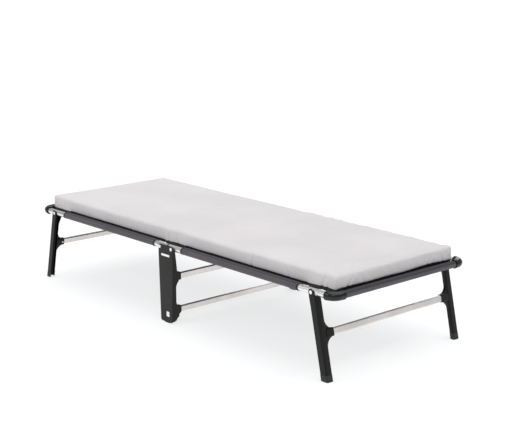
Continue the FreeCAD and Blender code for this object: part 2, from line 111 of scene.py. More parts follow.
# Mattress
MATTRESS_VOXEL = 0.0062
MATTRESS_START_INSET = 0.0012
MATTRESS_EDGE_ROUND = 0.010
MATTRESS_CORNER_ROUND = 0.008
MATTRESS_PUFF = 0.0025
BASE_CLOTH_HEIGHT = 0.0082
BASE_DROOP = 0.0112
SEAM_DEPTH = 0.0010
RIPPLE_RATE = 26.0
RIPPLE_DEPTH = 0.0042
BROAD_DEPTH = 0.0014
FINE_DEPTH = 0.0005
SIDE_SOFTNESS = 0.0013
MATTRESS_FLOOR_GAP = 0.0005
CLOTH_FRAMES = 20
CLOTH_PRESSURE = 4.0
BASE_WAVE = 0.0011

# Puckers in each side of the mattress: place along the side, depth and lean
PUCKERS = {
    "front": (
        (-0.62, 0.0010, 0.3), (-0.30, 0.0013, -0.4), (-0.045, 0.0022, 0.2), (0.02, 0.0014, -0.3),
        (0.46, 0.0020, 0.3), (0.67, 0.0012, -0.5), (0.835, 0.0024, 0.4), (0.865, 0.0016, -0.2),
    ),
    "right": ((-0.255, 0.0022, 0.5), (-0.17, 0.0012, -0.4), (0.17, 0.0020, 0.6), (0.26, 0.0013, -0.3)),
    "back": ((-0.7, 0.0014, 0.4), (-0.2, 0.0016, -0.3), (0.4, 0.0014, 0.3), (0.78, 0.0018, -0.5)),
    "left": ((-0.21, 0.0018, -0.4), (0.05, 0.0013, 0.4), (0.24, 0.0020, 0.3)),
}
SIDE_BAND = 0.03
PUCKER_WIDTH = 0.0055
PUCKER_RIDGE_PLACE = 0.013
PUCKER_RIDGE_WIDTH = 0.008

# Where the cover's lower edge is drawn up: x, y, height and reach
COVER_LIFTS = (
    (0.85, -0.318, 0.0062, 0.045), (0.908, -0.24, 0.0046, 0.07), (0.908, -0.05, 0.0034, 0.09),
    (0.908, 0.17, 0.0052, 0.09), (0.02, -0.318, 0.0018, 0.05), (-0.45, -0.318, 0.0012, 0.10),
    (-0.82, 0.318, 0.0040, 0.07), (0.50, 0.318, 0.0020, 0.10), (-0.908, -0.12, 0.0030, 0.09),
)
LIFT_BAND = 0.011

# Where the base hangs: the y it starts and ends at, by the corners and by the hinge, and its start along x
CORNER_DROOP_Y = (0.3035, 0.311)
HINGE_DROOP_Y = (0.290, 0.305)
DROOP_START = 0.014


# ---- Mesh helpers ----

def add_object(name, mesh, material):
    obj = bpy.data.objects.new(name, mesh)
    bpy.context.scene.collection.objects.link(obj)
    mesh.materials.append(material)
    return obj


def mesh_from(name, points, faces):
    mesh = bpy.data.meshes.new(name)
    mesh.from_pydata([tuple(p) for p in points], [], faces)
    mesh.validate()
    shade_smooth(mesh)
    return mesh


def shade_smooth(mesh):
    mesh.polygons.foreach_set("use_smooth", [True] * len(mesh.polygons))


def grid_faces(rows, columns, wrap=False):
    """Quads between neighbouring rows of points; with wrap the last column meets the first."""
    faces = []
    for row in range(rows - 1):
        for column in range(columns if wrap else columns - 1):
            after = (column + 1) % columns
            here, there = row * columns, (row + 1) * columns
            faces.append((here + column, here + after, there + after, there + column))
    return faces


def set_uv(mesh, coordinates):
    """Gives the mesh a UV map in metres, from one pair per vertex."""
    layer = mesh.uv_layers.new(name="cloth")
    for loop in mesh.loops:
        layer.data[loop.index].uv = coordinates[loop.vertex_index]


def baked(obj):
    """Applies the object's modifiers to its mesh."""
    depsgraph = bpy.context.evaluated_depsgraph_get()
    mesh = bpy.data.meshes.new_from_object(obj.evaluated_get(depsgraph))
    obj.modifiers.clear()
    obj.data = mesh
    return obj


def thickened(obj, thickness, offset):
    modifier = obj.modifiers.new("thickness", "SOLIDIFY")
    modifier.thickness = thickness
    modifier.offset = offset
    modifier.use_even_offset = True
    return baked(obj)


def closed_sweep(rings):
    """A tube through equal closed rings, with both ends capped."""
    rings = np.array(rings, float)
    rows, columns = rings.shape[:2]
    faces = grid_faces(rows, columns, wrap=True)
    faces.append(tuple(reversed(range(columns))))
    faces.append(tuple(range((rows - 1) * columns, rows * columns)))
    return rings.reshape(-1, 3), faces


def joined_mesh(name, parts):
    """One mesh from several (points, faces) parts."""
    points, faces = [], []
    for part_points, part_faces in parts:
        base = len(points)
        points.extend(part_points)
        faces.extend(tuple(base + index for index in face) for face in part_faces)
    return mesh_from(name, points, faces)


def unit_tangents(path):
    """The direction of a path at each of its points."""
    tangents = np.gradient(path, axis=0)
    return tangents / np.linalg.norm(tangents, axis=1)[:, None]


def running_length(path):
    """The distance along a path at each of its points."""
    return np.cumsum([0] + [math.dist(a, b) for a, b in zip(path, path[1:])])


def recalculate_normals(obj):
    cleaner = bmesh.new()
    cleaner.from_mesh(obj.data)
    bmesh.ops.recalc_face_normals(cleaner, faces=cleaner.faces)
    cleaner.to_mesh(obj.data)
    cleaner.free()


def vertex_array(mesh):
    values = np.zeros(len(mesh.vertices) * 3)
    mesh.vertices.foreach_get("co", values)
    return values.reshape(-1, 3)


def set_vertices(mesh, points):
    mesh.vertices.foreach_set("co", points.astype(np.float32).ravel())
    mesh.update()


def smoothstep(value, low, high):
    t = np.clip((value - low) / (high - low), 0.0, 1.0)
    return t * t * (3 - 2 * t)


# ---- Materials ----

def node(tree, kind, inputs=None, **settings):
    """Adds a shader node. A socket given as an input is linked and anything else is a fixed value."""
    made = tree.nodes.new("ShaderNode" + kind)
    for name, value in settings.items():
        setattr(made, name, value)
    for name, value in (inputs or {}).items():
        if isinstance(value, bpy.types.NodeSocket):
            tree.links.new(value, made.inputs[name])
        else:
            made.inputs[name].default_value = value
    return made


def math_node(tree, operation, first, second=0.0):
    return node(tree, "Math", {0: first, 1: second}, operation=operation).outputs[0]


def sine(tree, value, rate):
    return math_node(tree, "SINE", math_node(tree, "MULTIPLY", value, rate))


def new_material(name):
    material = bpy.data.materials.new(name)
    material.use_nodes = True
    tree = material.node_tree
    tree.nodes.clear()
    shader = node(tree, "BsdfPrincipled")
    output = node(tree, "OutputMaterial")
    tree.links.new(shader.outputs["BSDF"], output.inputs["Surface"])
    return material, tree, shader


def object_noise(tree, scale, stretch=(1.0, 1.0, 1.0), detail=2.0):
    """Noise in the object's own space, between 0 and 1."""
    place = node(tree, "TexCoord").outputs["Object"]
    stretched = node(tree, "Mapping", {"Vector": place, "Scale": stretch}).outputs["Vector"]
    texture = node(tree, "TexNoise", {"Vector": stretched, "Scale": scale, "Detail": detail})
    return texture.outputs["Fac"]


def mixed(tree, share, first, second):
    made = node(tree, "Mix", data_type="RGBA")
    tree.links.new(share, made.inputs[0])
    for index, value in ((6, first), (7, second)):
        if isinstance(value, bpy.types.NodeSocket):
            tree.links.new(value, made.inputs[index])
        else:
            made.inputs[index].default_value = value
    return made.outputs[2]


def ranged(tree, value, low, high, start=0.0, end=1.0):
    inputs = {"Value": value, "From Min": start, "From Max": end, "To Min": low, "To Max": high}
    return node(tree, "MapRange", inputs).outputs["Result"]


def edge_mask(tree, radius):
    """Near 1 along the solid's edges and 0 on its flats."""
    soft = node(tree, "Bevel", {"Radius": radius}, samples=4).outputs["Normal"]
    true_normal = node(tree, "NewGeometry").outputs["Normal"]
    dot = node(tree, "VectorMath", {0: soft, 1: true_normal}, operation="DOT_PRODUCT").outputs["Value"]
    return ranged(tree, dot, 1.0, 0.0, 0.80, 0.995)


def bumped(tree, height, strength, distance, radius=0.0):
    """A bump normal, on top of rounded edges where a radius is given."""
    inputs = {"Height": height, "Strength": strength, "Distance": distance}
    if radius:
        inputs["Normal"] = node(tree, "Bevel", {"Radius": radius}, samples=4).outputs["Normal"]
    return node(tree, "Bump", inputs).outputs["Normal"]


def grey(value):
    return (value, value, value, 1.0)


def metal(name, color, low_rough, high_rough, stretch, radius):
    """Drawn or plated metal, with fine lines along the piece and a little colour drift."""
    material, tree, shader = new_material(name)
    lines = object_noise(tree, 900.0, stretch, 3.0)
    drift = object_noise(tree, 9.0)
    dull = tuple(c * 0.86 for c in color)
    shader.inputs["Metallic"].default_value = 1.0
    tree.links.new(mixed(tree, ranged(tree, drift, 0.0, 1.0, 0.35, 0.65), (*dull, 1), (*color, 1)),
                   shader.inputs["Base Color"])
    tree.links.new(ranged(tree, lines, low_rough, high_rough, 0.3, 0.7), shader.inputs["Roughness"])
    tree.links.new(bumped(tree, lines, 0.12, 0.0002, radius), shader.inputs["Normal"])
    return material


def moulded(name, color, worn, rough, grain, radius, shine=0.5):
    """Moulded plastic or rubber, with a fine grain, handling marks and paler worn edges."""
    material, tree, shader = new_material(name)
    skin = object_noise(tree, grain, detail=3.0)
    patches = object_noise(tree, 14.0, detail=4.0)
    scuffs = object_noise(tree, 60.0, (1.0, 1.0, 0.25), 5.0)
    paler = tuple(c * 1.35 for c in color)
    base = mixed(tree, ranged(tree, patches, 0.0, 1.0, 0.35, 0.7), (*color, 1), (*paler, 1))
    worn_share = ranged(tree, scuffs, 0.0, 1.0, 0.45, 0.7)
    edges = math_node(tree, "MULTIPLY", edge_mask(tree, 0.0012), worn_share)
    tree.links.new(mixed(tree, edges, base, (*worn, 1)), shader.inputs["Base Color"])
    tree.links.new(ranged(tree, patches, rough - 0.05, rough + 0.09, 0.3, 0.7), shader.inputs["Roughness"])
    tree.links.new(bumped(tree, skin, 0.25, 0.00025, radius), shader.inputs["Normal"])
    shader.inputs["Specular IOR Level"].default_value = shine
    return material


def woven(name, warp, weft, pitch, rough, sheen, painted_shade_reach=0.0):
    """Plain-woven cloth whose threads follow the piece's own cloth map, with painted shade on a sleeve's top
    next to the deck's rim if asked.
    """
    material, tree, shader = new_material(name)
    place = node(tree, "UVMap", uv_map="cloth").outputs["UV"]
    axes = node(tree, "SeparateXYZ", {"Vector": place})
    waves = [sine(tree, axes.outputs[axis], math.pi / pitch) for axis in ("X", "Y")]
    crossing = math_node(tree, "MULTIPLY", *waves)
    slub = object_noise(tree, 320.0, (1.0, 0.3, 1.0), 4.0)
    fade = object_noise(tree, 5.0, detail=3.0)
    over = ranged(tree, crossing, 0.0, 1.0, -0.6, 0.6)
    threads = mixed(tree, over, (*warp, 1), (*weft, 1))
    paler = tuple(min(1.0, c * 1.22) for c in weft)
    heather = mixed(tree, ranged(tree, slub, 0.0, 0.8, 0.45, 0.75), threads, (*paler, 1))
    darker = tuple(c * 0.88 for c in warp)
    fade_and_painted_shade = mixed(tree, ranged(tree, fade, 0.0, 0.55, 0.4, 0.7), heather, (*darker, 1))
    # Painted shade: the cloth goes near black from the deck's rim over the given reach, standing in for the
    # mattress's shadow on the sleeve's top
    if painted_shade_reach:
        painted_shade_share = ranged(tree, axes.outputs["Y"], 0.9, 0.0, painted_shade_reach * 0.75, painted_shade_reach)
        fade_and_painted_shade = mixed(tree, painted_shade_share, fade_and_painted_shade, (*[c * 0.18 for c in warp], 1))
    tree.links.new(fade_and_painted_shade, shader.inputs["Base Color"])
    tree.links.new(ranged(tree, slub, rough - 0.06, rough + 0.06, 0.3, 0.7), shader.inputs["Roughness"])
    height = math_node(tree, "ADD", crossing, math_node(tree, "MULTIPLY", slub, 0.8))
    tree.links.new(bumped(tree, height, 0.5, 0.00025), shader.inputs["Normal"])
    shader.inputs["Sheen Weight"].default_value = sheen
    shader.inputs["Sheen Roughness"].default_value = 0.45
    return material


def woven_plain(name, warp, weft, pitch, rough):
    """Plain dark cloth whose weave follows the piece's own space, for a mesh with no cloth map."""
    material, tree, shader = new_material(name)
    place = node(tree, "TexCoord").outputs["Object"]
    axes = node(tree, "SeparateXYZ", {"Vector": place})
    sums = [math_node(tree, "ADD", axes.outputs[axis], axes.outputs["Y"]) for axis in ("X", "Z")]
    crossing = math_node(tree, "MULTIPLY", *[sine(tree, value, math.pi / pitch) for value in sums])
    slub = object_noise(tree, 260.0, detail=4.0)
    threads = mixed(tree, ranged(tree, crossing, 0.0, 1.0, -0.6, 0.6), (*warp, 1), (*weft, 1))
    paler = tuple(c * 1.5 for c in weft)
    tree.links.new(mixed(tree, ranged(tree, slub, 0.0, 0.7, 0.45, 0.75), threads, (*paler, 1)),
                   shader.inputs["Base Color"])
    tree.links.new(ranged(tree, slub, rough - 0.06, rough + 0.06, 0.3, 0.7), shader.inputs["Roughness"])
    tree.links.new(bumped(tree, crossing, 0.4, 0.00025), shader.inputs["Normal"])
    return material


def knitted(name, color):
    """Pale jersey ticking: fine ribs, faint wavy jacquard lines and soft colour drift."""
    material, tree, shader = new_material(name)
    place = node(tree, "TexCoord").outputs["Object"]
    axes = node(tree, "SeparateXYZ", {"Vector": place})
    drift = object_noise(tree, 3.0, detail=3.0)
    fuzz = object_noise(tree, 420.0, detail=4.0)
    across = math_node(tree, "ADD", axes.outputs["Y"], axes.outputs["Z"])
    rib_pitch, course_pitch, course_bend = 0.0022, 0.0030, 0.0011
    wave_pitch, sway_pitch, sway_depth = 0.021, 0.14, 0.009
    ribs = sine(tree, across, 2 * math.pi / rib_pitch)
    bend = math_node(tree, "MULTIPLY", math_node(tree, "ABSOLUTE", ribs), course_bend)
    courses = sine(tree, math_node(tree, "ADD", axes.outputs["X"], bend), 2 * math.pi / course_pitch)
    sway = math_node(tree, "MULTIPLY", sine(tree, across, 2 * math.pi / sway_pitch), sway_depth)
    bands = sine(tree, math_node(tree, "ADD", axes.outputs["X"], sway), 2 * math.pi / wave_pitch)
    line = ranged(tree, bands, 0.0, 1.0, 0.86, 1.0)
    loops = math_node(tree, "MULTIPLY", math_node(tree, "MULTIPLY", ribs, courses), 0.5)
    darker = tuple(c * 0.93 for c in color)
    paler = tuple(min(1.0, c * 1.06) for c in color)
    body = mixed(tree, ranged(tree, drift, 0.0, 1.0, 0.38, 0.62), (*darker, 1), (*color, 1))
    lined = mixed(tree, math_node(tree, "MULTIPLY", line, 0.55), body, (*paler, 1))
    tree.links.new(mixed(tree, ranged(tree, fuzz, 0.0, 0.18, 0.4, 0.7), lined, (*darker, 1)),
                   shader.inputs["Base Color"])
    tree.links.new(ranged(tree, fuzz, 0.82, 0.95, 0.3, 0.7), shader.inputs["Roughness"])
    raised = math_node(tree, "MULTIPLY", line, 0.9)
    height = math_node(tree, "ADD", math_node(tree, "ADD", loops, fuzz), raised)
    tree.links.new(bumped(tree, height, 0.45, 0.00035), shader.inputs["Normal"])
    shader.inputs["Sheen Weight"].default_value = 0.15
    shader.inputs["Sheen Roughness"].default_value = 0.5
    return material


ALONG_X, ALONG_Y, ALL_WAYS = (0.02, 1.0, 1.0), (1.0, 0.02, 1.0), (1.0, 1.0, 1.0)
MATERIALS = {
    "rail_metal": metal("rail_metal", (0.88, 0.88, 0.87), 0.20, 0.34, ALONG_X, 0.0004),
    "bar_metal": metal("bar_metal", (0.84, 0.80, 0.77), 0.26, 0.42, ALONG_Y, 0.0004),
    "plated_steel": metal("plated_steel", (0.86, 0.86, 0.86), 0.12, 0.26, ALL_WAYS, 0.0003),
    "badge_metal": metal("badge_metal", (0.90, 0.90, 0.91), 0.30, 0.45, ALONG_X, 0.0003),
    "leg_plastic": moulded(
        "leg_plastic", (0.0035, 0.0032, 0.0028), (0.036, 0.034, 0.031), 0.38, 700.0, 0.0012, 0.26),
    "panel_plastic": moulded(
        "panel_plastic", (0.0115, 0.0108, 0.0100), (0.060, 0.058, 0.055), 0.48, 900.0, 0.0010, 0.30),
    "elbow_plastic": moulded(
        "elbow_plastic", (0.0035, 0.0035, 0.0036), (0.035, 0.035, 0.035), 0.20, 500.0, 0.0010, 0.45),
    "foot_rubber": moulded("foot_rubber", (0.014, 0.014, 0.014), (0.05, 0.05, 0.05), 0.62, 500.0, 0.0012),
    "spacer_nylon": moulded("spacer_nylon", (0.05, 0.05, 0.05), (0.12, 0.12, 0.12), 0.40, 500.0, 0.0004),
    "deck_cloth": woven("deck_cloth", (0.040, 0.033, 0.043), (0.060, 0.051, 0.064), 0.0011, 0.82, 0.10),
    "sleeve_cloth": woven(
        "sleeve_cloth", (0.062, 0.053, 0.064), (0.094, 0.084, 0.098), 0.0011, 0.78, 0.20,
        SIDE_SLEEVE_PAINTED_SHADE_REACH),
    "end_sleeve_cloth": woven(
        "end_sleeve_cloth", (0.070, 0.066, 0.080), (0.100, 0.095, 0.112), 0.0011, 0.74, 0.10,
        END_SLEEVE_PAINTED_SHADE_REACH),
    "tape_cloth": woven("tape_cloth", (0.009, 0.009, 0.010), (0.016, 0.015, 0.017), 0.0009, 0.72, 0.15),
    "webbing": woven("webbing", (0.012, 0.012, 0.013), (0.026, 0.025, 0.027), 0.0016, 0.66, 0.2),
    "base_cloth": woven_plain("base_cloth", (0.012, 0.012, 0.013), (0.022, 0.021, 0.023), 0.0015, 0.78),
    "thread": woven("thread", (0.05, 0.045, 0.052), (0.09, 0.08, 0.092), 0.0006, 0.6, 0.3),
    "mattress_knit": knitted("mattress_knit", (0.700, 0.672, 0.684)),
}

# The finish of each CAD node that stays, from a part of its name. The first match counts.
CAD_FINISHES = (
    ("side_rail", "rail_metal"),
    ("end_rail", "bar_metal"),
    ("crossbar_screws", "plated_steel"),
    ("crossbar", "bar_metal"),
    ("rivets", "plated_steel"),
    ("pins", "plated_steel"),
    ("washers", "spacer_nylon"),
    ("nameplates", "badge_metal"),
    ("badges", "badge_metal"),
    ("foot_", "foot_rubber"),
    ("centre_leg", "panel_plastic"),
    ("end_leg", "leg_plastic"),
    ("elbow", "elbow_plastic"),
    ("plugs", "elbow_plastic"),
)


def finish_cad_nodes():
    for name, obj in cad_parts.items():
        finish = next((value for key, value in CAD_FINISHES if key in name), None)
        if finish:
            obj.data.materials.clear()
            obj.data.materials.append(MATERIALS[finish])


# ---- Camera, floor and light ----

def add_camera():
    camera = bpy.data.objects.new("camera", bpy.data.cameras.new("camera"))
    bpy.context.scene.collection.objects.link(camera)
    camera.data.lens = CAMERA_LENS
    camera.location = CAMERA_PLACE
    camera.rotation_euler = (math.radians(90 - CAMERA_ELEVATION), 0, math.radians(CAMERA_AZIMUTH))
    bpy.context.scene.camera = camera


def add_floor():
    half = 60.0
    mesh = mesh_from("floor", [(-half, -half, 0), (half, -half, 0), (half, half, 0), (-half, half, 0)],
                     [(0, 1, 2, 3)])
    material, tree, shader = new_material("floor_paint")
    tone = object_noise(tree, 0.8)
    tree.links.new(mixed(tree, tone, grey(0.30), grey(0.32)), shader.inputs["Base Color"])
    shader.inputs["Roughness"].default_value = 0.9
    shader.inputs["Emission Color"].default_value = (0.985, 0.995, 1.0, 1)
    shader.inputs["Emission Strength"].default_value = 0.73
    add_object("floor", mesh, material)


def add_area_light(name, place, aim, size, power):
    light = bpy.data.objects.new(name, bpy.data.lights.new(name, "AREA"))
    bpy.context.scene.collection.objects.link(light)
    light.data.shape = "RECTANGLE"
    light.data.size, light.data.size_y = size
    light.data.energy = power
    light.location = place
    light.rotation_euler = (Vector(aim) - Vector(place)).to_track_quat("-Z", "Y").to_euler()


def add_light():
    scene = bpy.context.scene
    scene.view_settings.view_transform = "Standard"
    scene.world = bpy.data.worlds.new("studio")
    scene.world.use_nodes = True
    background = scene.world.node_tree.nodes["Background"]
    background.inputs["Color"].default_value = (0.985, 0.99, 1.0, 1)
    background.inputs["Strength"].default_value = 0.42
    overhead = bpy.data.objects.new("overhead", bpy.data.lights.new("overhead", "SUN"))
    scene.collection.objects.link(overhead)
    overhead.data.energy = 1.85
    overhead.data.angle = math.radians(75)
    overhead.rotation_euler = (math.radians(-10), math.radians(6), 0)
    add_area_light("key", (2.4, -2.2, 2.6), (0.3, 0.0, 0.3), (1.2, 1.2), 10)
    add_area_light("fill", (-0.7, -2.9, 2.4), (0.0, 0.0, 0.3), (1.8, 1.0), 21)
    add_area_light("rim", (-1.6, 2.6, 1.6), (0.0, 0.0, 0.3), (2.4, 0.8), 14)


# ---- Deck fabric ----

rail_low, rail_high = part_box("right_side_rail_front")
rail_height = (rail_low.z + rail_high.z) / 2
rail_y = -(rail_low.y + rail_high.y) / 2
end_low, end_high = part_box("right_end_rail")
end_rail_x = (end_low.x + end_high.x) / 2
sleeve_low, sleeve_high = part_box("right_sleeve_front")
sleeve_radius = (sleeve_high.z - sleeve_low.z) / 2
rim_y = rail_y - sleeve_radius * math.sin(DECK_RIM_ANGLE)
rim_z = rail_height + sleeve_radius * math.cos(DECK_RIM_ANGLE)
end_rim_x = end_rail_x - sleeve_radius * math.sin(DECK_END_ANGLE)
end_rim_z = rail_height + sleeve_radius * math.cos(DECK_END_ANGLE)
deck_inner_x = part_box("right_deck")[0].x
end_sleeve_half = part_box("right_sleeve_end")[1].y


def deck_outline():
    """(x, half width) pairs of the right deck, from the hinge hem to the end rail."""
    sewn_start, sewn_end = sleeve_low.x + SEAM_INSET, sleeve_high.x - SEAM_INSET
    collar_edge = end_rail_x - COLLAR_LENGTH
    hem_edge = end_sleeve_half - END_HEM_INSET
    hinge_length, hinge_flare = sewn_start - deck_inner_x, rim_y - HINGE_HEM_HALF
    points = [(deck_inner_x, HINGE_HEM_HALF)]
    points += [(deck_inner_x + hinge_length * t, HINGE_HEM_HALF + hinge_flare * t)
               for t in np.linspace(0.1, 1.0, 10)]
    points += [(x, rim_y) for x in np.linspace(sewn_start, sewn_end, 62)[1:]]
    points += corner_curve((sewn_end, rim_y), (CORNER_CUT_X, CORNER_CUT_Y), 14)[1:]
    points += [(x, CORNER_CUT_Y) for x in np.linspace(CORNER_CUT_X, collar_edge - 0.010, 10)[1:]]
    points += [(collar_edge - 0.004, CORNER_CUT_Y - 0.002), (collar_edge, hem_edge + 0.001)]
    points += [(x, hem_edge) for x in np.linspace(collar_edge + 0.003, end_rim_x, 5)]
    return points


def corner_curve(start, end, steps):
    """A hollow curve that leaves the side rail square to it and ends along X."""
    angles = np.linspace(0.0, math.pi / 2, steps)
    width, depth = end[0] - start[0], start[1] - end[1]
    return [(start[0] + width * (1 - math.cos(a)), start[1] - depth * math.sin(a)) for a in angles]


def deck_height(x, y):
    """The fabric's top. It dips from the rails' tops to a nearly flat bed with a slight sag."""
    across = abs(y)
    rim = rim_z - (rim_y - across) * math.tan(DECK_RIM_ANGLE)
    bank_top = rim_z - (rim_y - DECK_RIM_INNER_Y) * math.tan(DECK_RIM_ANGLE)
    bank = DECK_FLAT_TOP + (bank_top - DECK_FLAT_TOP) * (across - DECK_BANK_FOOT_Y) / (
        DECK_RIM_INNER_Y - DECK_BANK_FOOT_Y)
    ramp = end_rim_z - (end_rim_x - x) * math.tan(DECK_END_ANGLE)
    level = max(ramp, DECK_FLAT_TOP if across < DECK_BANK_FOOT_Y else min(bank, rim))
    from_end = float(smoothstep(end_rim_x - 0.02 - x, 0.0, 0.25))
    middle = (1.0 - min(1.0, across / DECK_BANK_FOOT_Y) ** 2) * from_end
    reach = math.hypot(end_rail_x - x, rail_y - across)
    folds = abs(math.sin(math.atan2(end_rail_x - x, rail_y - across) * PULL_RATE))
    pull = PULL_DEPTH * math.exp(-reach / PULL_REACH) * folds
    return level - DECK_SAG * middle - pull


def build_deck(side, sign):
    outline = deck_outline()
    edge = np.array([0.93, 0.945, 0.96, 0.975, 0.99, 1.0])
    columns = np.concatenate([-edge[::-1], np.linspace(-0.91, 0.91, 41), edge])
    points, cloth_map = [], []
    for x, width in outline:
        for v in columns:
            y = v * width
            points.append((sign * x, y, deck_height(x, y)))
            cloth_map.append((x, y))
    faces = grid_faces(len(outline), len(columns))
    if sign > 0:
        faces = [tuple(reversed(face)) for face in faces]
    mesh = mesh_from(f"{side}_deck_cloth", points, faces)
    set_uv(mesh, cloth_map)
    deck = thickened(add_object(f"{side}_deck_cloth", mesh, MATERIALS["deck_cloth"]), CLOTH_THICKNESS, -1)
    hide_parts(f"{side}_deck")
    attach(deck, f"{side}_half")
    return deck


def hem_profile(reach, radius):
    """(inward, up) points of a sleeve: from the deck's rim round the rail's outside to the seam."""
    is_end = reach == END_HEM_REACH
    seam_x, seam_y = (end_rail_x - reach, 0.0) if is_end else (SIDE_HEM_X, rail_y - reach)
    seam = (reach, deck_height(seam_x, seam_y) - rail_height - 1.5 * CLOTH_THICKNESS)
    start = math.pi / 2 - (DECK_END_ANGLE if is_end else DECK_RIM_ANGLE)
    distance = math.hypot(*seam)
    leave = math.atan2(seam[1], seam[0]) - math.acos(radius / distance)
    if not is_end:
        leave = max(leave, NEST_ANGLE)
    points = [(radius * math.cos(a), radius * math.sin(a))
              for a in np.linspace(start, 2 * math.pi + leave, 44)]
    points[0] = (points[0][0] * 0.97, points[0][1] * 0.97)
    last = points[-1]
    points += [(last[0] + (seam[0] - last[0]) * t, last[1] + (seam[1] - last[1]) * t)
               for t in np.linspace(0.2, 1.0, 5)]
    return points


def build_sleeve(name, replaced, side, place, length, reach, steps):
    """A sewn sleeve; place(along, inward, up) gives a point of the model."""
    profile = hem_profile(reach, sleeve_radius)
    points, cloth_map = [], []
    run = running_length(profile)
    for t in np.linspace(0.0, 1.0, steps):
        for index, (inward, up) in enumerate(profile):
            ripple = noise.noise(Vector((t * length * 22, run[index] * 30, piece_seed(name))))
            fold = 1 + SLEEVE_RIPPLE * ripple / sleeve_radius
            points.append(place(t * length, inward * fold, up * fold))
            cloth_map.append((t * length, run[index]))
    mesh = mesh_from(name, points, grid_faces(steps, len(profile)))
    set_uv(mesh, cloth_map)
    cloth = "end_sleeve_cloth" if reach == END_HEM_REACH else "sleeve_cloth"
    sleeve = add_object(name, mesh, MATERIALS[cloth])
    outward = sleeve.data.polygons[10].normal.dot(Vector(points[10]) - Vector(place(0, 0, 0)))
    if outward < 0:
        sleeve.data.flip_normals()
    sleeve = thickened(sleeve, CLOTH_THICKNESS * 0.9, -1)
    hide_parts(replaced)
    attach(sleeve, f"{side}_half")
    return sleeve


def piece_seed(name):
    """A different place in the noise for each piece, the same on every run."""
    return sum(ord(letter) for letter in name) * 0.137


def beside_side_rail(sign, facing):
    """Turns (along, inward, up) at one side rail into a point of the model."""
    def place(along, inward, up):
        return (sign * (sleeve_low.x + along), facing * (rail_y - inward), rail_height + up)
    return place


def beside_end_rail(sign):
    """Turns (along, inward, up) at one end rail into a point of the model."""
    def place(along, inward, up):
        return (sign * (end_rail_x - inward), along - end_sleeve_half, rail_height + up)
    return place


def build_sleeves(side, sign):
    side_length, end_length = sleeve_high.x - sleeve_low.x, 2 * end_sleeve_half
    runs = [(end, beside_side_rail(sign, facing), side_length, HEM_REACH, SLEEVE_STEPS)
            for end, facing in ENDS.items()]
    runs.append(("end", beside_end_rail(sign), end_length, END_HEM_REACH, END_SLEEVE_STEPS))
    return [build_sleeve(f"{side}_sleeve_cloth_{end}", f"{side}_sleeve_{end}", side, *run)
            for end, *run in runs]


def tape_along(path):
    """A folded tape along a path of (x, y) points, which follows the deck's height."""
    path = np.array(path, float)
    half_w, half_t = TAPE_WIDTH / 2, TAPE_THICKNESS / 2
    section = [
        (-half_w, -half_t * 0.7), (-half_w, half_t * 0.7), (-half_w * 0.8, half_t),
        (half_w * 0.8, half_t), (half_w, half_t * 0.6), (half_w * 1.03, 0),
        (half_w, -half_t * 0.6), (half_w * 0.8, -half_t), (-half_w * 0.8, -half_t),
    ]
    rings = []
    for (x, y), (tx, ty) in zip(path, unit_tangents(path)):
        places = [(x - ty * a, y + tx * a, b) for a, b in section]
        rings.append([(px, py, deck_height(abs(px), py) - CLOTH_THICKNESS / 2 + b) for px, py, b in places])
    return closed_sweep(rings)


def cuff_around(place, start, width):
    """A raised band round the end of a sleeve."""
    outer = hem_profile(HEM_REACH, sleeve_radius + CUFF_HEIGHT)
    inner = hem_profile(HEM_REACH, sleeve_radius - CUFF_HEIGHT)
    loop = outer + list(reversed(inner))
    return closed_sweep([[place(start + t, a, b) for a, b in loop] for t in (0.0, width)])


def build_binding(side, sign):
    """The tape on the hinge hem and the corner cut-outs, and the cuffs at the sleeves' ends."""
    outline = deck_outline()
    inset = TAPE_WIDTH / 2 - TAPE_OVERHANG
    hinge = [(x, y) for x, y in outline if x <= sleeve_low.x + SEAM_INSET]
    hem = [(x, -y) for x, y in reversed(hinge)] + hinge
    parts = [tape_along([(sign * (x + inset), y * (1 - inset / rail_y)) for x, y in hem])]
    corner = [(x, y) for x, y in outline if sleeve_high.x - 2 * SEAM_INSET <= x <= end_rail_x - COLLAR_LENGTH]
    last_cuff = sleeve_high.x - sleeve_low.x - CUFF_WIDTH + CUFF_OVERHANG
    for facing in ENDS.values():
        parts.append(tape_along([(sign * (x - CORNER_TAPE_SHIFT), facing * (y - inset)) for x, y in corner]))
        place = beside_side_rail(sign, facing)
        parts += [cuff_around(place, start, CUFF_WIDTH) for start in (-CUFF_OVERHANG, last_cuff)]
    mesh = joined_mesh(f"{side}_deck_binding", parts)
    set_uv(mesh, [(v.co.x + v.co.z, v.co.y + v.co.z) for v in mesh.vertices])
    binding = add_object(f"{side}_deck_binding", mesh, MATERIALS["tape_cloth"])
    recalculate_normals(binding)
    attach(binding, f"{side}_half")
    return binding


def stitch(centre, along, up):
    """One thread loop that shows: a short bar with tapered ends, half sunk in the cloth."""
    across = along.cross(up)
    rings = []
    for t, size in ((-0.5, 0.35), (-0.3, 1.0), (0.3, 1.0), (0.5, 0.35)):
        middle = centre + along * (t * STITCH_LENGTH)
        rings.append([
            tuple(middle + (across * math.cos(a) * 1.3 + up * math.sin(a)) * STITCH_RADIUS * size)
            for a in np.linspace(0, 2 * math.pi, 7)[:-1]
        ])
    return closed_sweep(rings)


def stitch_row(start, end, up):
    start, end = Vector(start), Vector(end)
    along = (end - start).normalized()
    count = int((end - start).length / STITCH_PITCH)
    return [stitch(start + along * (STITCH_PITCH * (i + 0.5)), along, Vector(up)) for i in range(count)]


def end_stitches(sign, x, drop, up):
    """A row along the end rail; drop is how far it lies under the deck's top."""
    half = end_sleeve_half - END_STITCH_MARGIN
    return [stitch(Vector((sign * x, y, deck_height(x, y) - drop)), Vector((0, 1, 0)), Vector(up))
            for y in np.arange(-half, half, STITCH_PITCH)]


